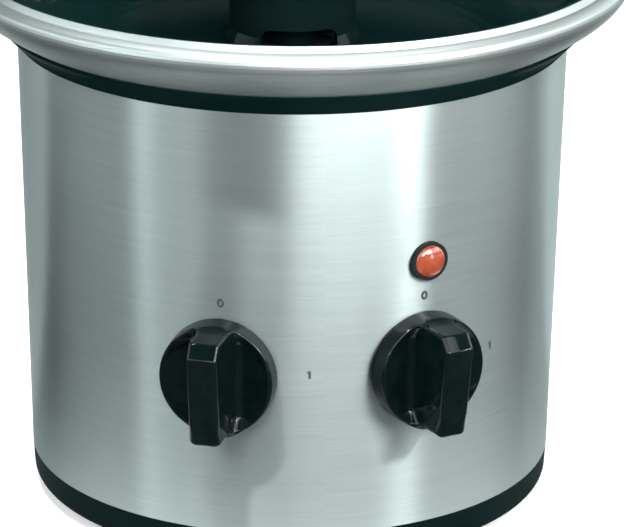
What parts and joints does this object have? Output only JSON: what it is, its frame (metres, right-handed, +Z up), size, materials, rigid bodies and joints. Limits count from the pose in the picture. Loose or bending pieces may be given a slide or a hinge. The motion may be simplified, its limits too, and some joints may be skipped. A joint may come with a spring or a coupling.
{
  "type": "chocolate fountain",
  "caption": "Table-top chocolate fountain: steel drum with two knobs, broad-rimmed melting bowl and a lift-off tiered tower with an auger.",
  "frame": {"origin": "on the floor under the centre of the drum", "axes": "+Z up along the drum and the drive shaft, -Y towards the front with the two knobs, +X to the right seen from the front"},
  "size_m": [0.2444, 0.2444, 0.376],
  "materials": {
    "brushed_steel": "horizontally brushed stainless steel",
    "rim_steel": "satin polished stainless steel",
    "black_plastic": "satin black moulding",
    "rubber": "matt black rubber",
    "zinc_steel": "zinc plated steel",
    "silicone": "silicone rubber",
    "bowl_coating": "glossy dark non-stick coating on aluminium",
    "cast_aluminium": "as cast",
    "element_sheath": "dull steel sheath",
    "switch_plastic": "cream moulding",
    "dark_plastic": "black moulding",
    "brass": "turned",
    "motor_paint": "grey painted steel",
    "copper": "enamelled copper wire",
    "lamp_red": "translucent orange-red lens",
    "wire_insulation": "glass-fibre sleeved wire",
    "knob_black": "glossy black moulding",
    "gear_nylon": "natural nylon",
    "tower_plastic": "glossy black food-safe plastic"
  },
  "bodies": {
    "base": {"housing_shell": "brushed_steel", "base_cover": "black_plastic", "rubber_feet": "rubber", "base_screws": "zinc_steel", "top_collar": "black_plastic", "bowl_seal": "silicone", "bowl_rim": "rim_steel", "bowl_pan": "bowl_coating", "bowl_studs": "zinc_steel", "bowl_straps": "zinc_steel", "strap_screws": "zinc_steel", "heat_plate": "cast_aluminium", "heater_element": "element_sheath", "thermostat": "switch_plastic", "thermal_fuse": "switch_plastic", "drive_hub": "dark_plastic", "hub_nut": "brass", "shaft_seal": "silicone", "hub_bush": "brass", "standoffs": "zinc_steel", "plate_screws": "zinc_steel", "gear_plate_top": "zinc_steel", "gear_plate_bottom": "zinc_steel", "plate_pillars": "zinc_steel", "idler_pin": "zinc_steel", "plate_bush": "brass", "motor_can": "motor_paint", "motor_end_cap": "dark_plastic", "field_coil": "copper", "motor_bearings": "brass", "motor_screws": "zinc_steel", "motor_switch": "switch_plastic", "heat_switch": "switch_plastic", "switch_nuts": "zinc_steel", "lamp_bezel": "dark_plastic", "lamp_lens": "lamp_red", "lamp_holder": "switch_plastic", "terminal_block": "switch_plastic", "wiring": "wire_insulation", "cord_gland": "rubber", "locating_pins": "zinc_steel"},
    "motor_knob": {"motor_knob": "knob_black", "motor_switch_shaft": "zinc_steel"},
    "heat_knob": {"heat_knob": "knob_black", "heat_switch_shaft": "zinc_steel"},
    "rotor": {"rotor_shaft": "zinc_steel", "rotor_core": "zinc_steel", "rotor_pinion": "gear_nylon"},
    "idler": {"idler_gear": "gear_nylon"},
    "drive": {"drive_shaft": "zinc_steel", "drive_gear": "gear_nylon", "drive_dog": "dark_plastic"},
    "auger": {"auger": "tower_plastic"},
    "tower": {"tower_tube": "tower_plastic", "large_tier": "tower_plastic", "middle_tier": "tower_plastic"},
    "crown": {"crown": "tower_plastic"}
  },
  "joints": [
    {"name": "motor_knob_turn", "type": "hinge", "parent": "base", "child": "motor_knob", "pos_m": [-0.03557, -0.09122, 0.0755], "axis": [0.3633, 0.9317, 0], "range_deg": [0, 90]},
    {"name": "heat_knob_turn", "type": "hinge", "parent": "base", "child": "heat_knob", "pos_m": [0.03557, -0.09122, 0.0755], "axis": [-0.3633, 0.9317, 0], "range_deg": [0, 90]},
    {"name": "drive_spin", "type": "hinge", "parent": "base", "child": "drive", "pos_m": [0, 0, 0.12], "axis": [0, 0, 1], "continuous": true},
    {"name": "idler_spin", "type": "hinge", "parent": "base", "child": "idler", "pos_m": [0.02538, 0.016, 0.104], "axis": [0, 0, 1], "continuous": true},
    {"name": "rotor_spin", "type": "hinge", "parent": "base", "child": "rotor", "pos_m": [0, 0.032, 0.08], "axis": [0, 0, 1], "continuous": true},
    {"name": "auger_lift", "type": "slide", "parent": "drive", "child": "auger", "axis": [0, 0, 1], "range_m": [0, 0.23]},
    {"name": "tower_lift", "type": "slide", "parent": "base", "child": "tower", "axis": [0, 0, 1], "range_m": [0, 0.23]},
    {"name": "crown_lift", "type": "slide", "parent": "tower", "child": "crown", "axis": [0, 0, 1], "range_m": [0, 0.03]}
  ],
  "couplings": [
    {"joint": "idler_spin", "follows": "rotor_spin", "ratio": -0.25},
    {"joint": "drive_spin", "follows": "rotor_spin", "ratio": 0.0625}
  ]
}
